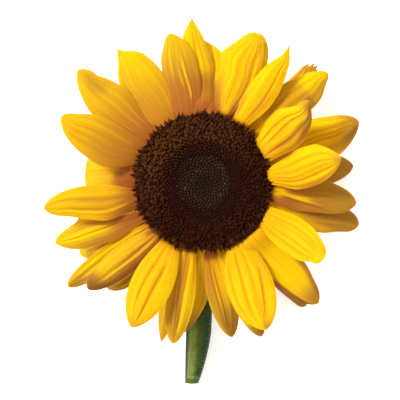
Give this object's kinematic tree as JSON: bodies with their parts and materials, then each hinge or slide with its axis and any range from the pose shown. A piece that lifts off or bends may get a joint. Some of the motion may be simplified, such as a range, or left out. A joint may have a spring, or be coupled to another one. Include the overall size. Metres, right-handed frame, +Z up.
{
  "type": "cut sunflower bloom",
  "caption": "Cut sunflower bloom lying face up on its short stem: yellow petals round a dark disc of florets, with green bracts behind.",
  "frame": {"origin": "on the surface the bloom lies on, under the middle of its outline", "axes": "+Z up, the way the bloom faces; +Y from the stem's cut end towards the top of the bloom"},
  "size_m": [0.1508, 0.18, 0.057],
  "materials": {
    "petal": "satin, softly ribbed along its length",
    "floret": "matt, tufted",
    "bud": "matt, beaded",
    "bract": "matt, finely hairy",
    "stem": "satin, ribbed and bristly"
  },
  "bodies": {
    "root": {"stem": "stem", "receptacle": "bract", "disc_florets": "floret", "disc_buds": "bud", "petal_01": "petal", "petal_02": "petal", "petal_03": "petal", "petal_04": "petal", "petal_05": "petal", "petal_06": "petal", "petal_07": "petal", "petal_08": "petal", "petal_09": "petal", "petal_10": "petal", "petal_11": "petal", "petal_12": "petal", "petal_13": "petal", "petal_14": "petal", "petal_15": "petal", "petal_16": "petal", "petal_17": "petal", "petal_18": "petal", "petal_19": "petal", "petal_20": "petal", "petal_21": "petal", "petal_22": "petal", "petal_23": "petal", "petal_24": "petal", "petal_25": "petal", "petal_26": "petal", "petal_27": "petal", "petal_28": "petal", "petal_29": "petal", "petal_30": "petal", "petal_31": "petal", "petal_32": "petal", "petal_33": "petal", "petal_34": "petal", "petal_35": "petal", "bract_inner_01": "bract", "bract_inner_02": "bract", "bract_inner_03": "bract", "bract_inner_04": "bract", "bract_inner_05": "bract", "bract_inner_06": "bract", "bract_inner_07": "bract", "bract_inner_08": "bract", "bract_inner_09": "bract", "bract_inner_10": "bract", "bract_inner_11": "bract", "bract_inner_12": "bract", "bract_inner_13": "bract", "bract_outer_01": "bract", "bract_outer_02": "bract", "bract_outer_03": "bract", "bract_outer_04": "bract", "bract_outer_05": "bract", "bract_outer_06": "bract", "bract_outer_07": "bract", "bract_outer_08": "bract"}
  },
  "joints": []
}
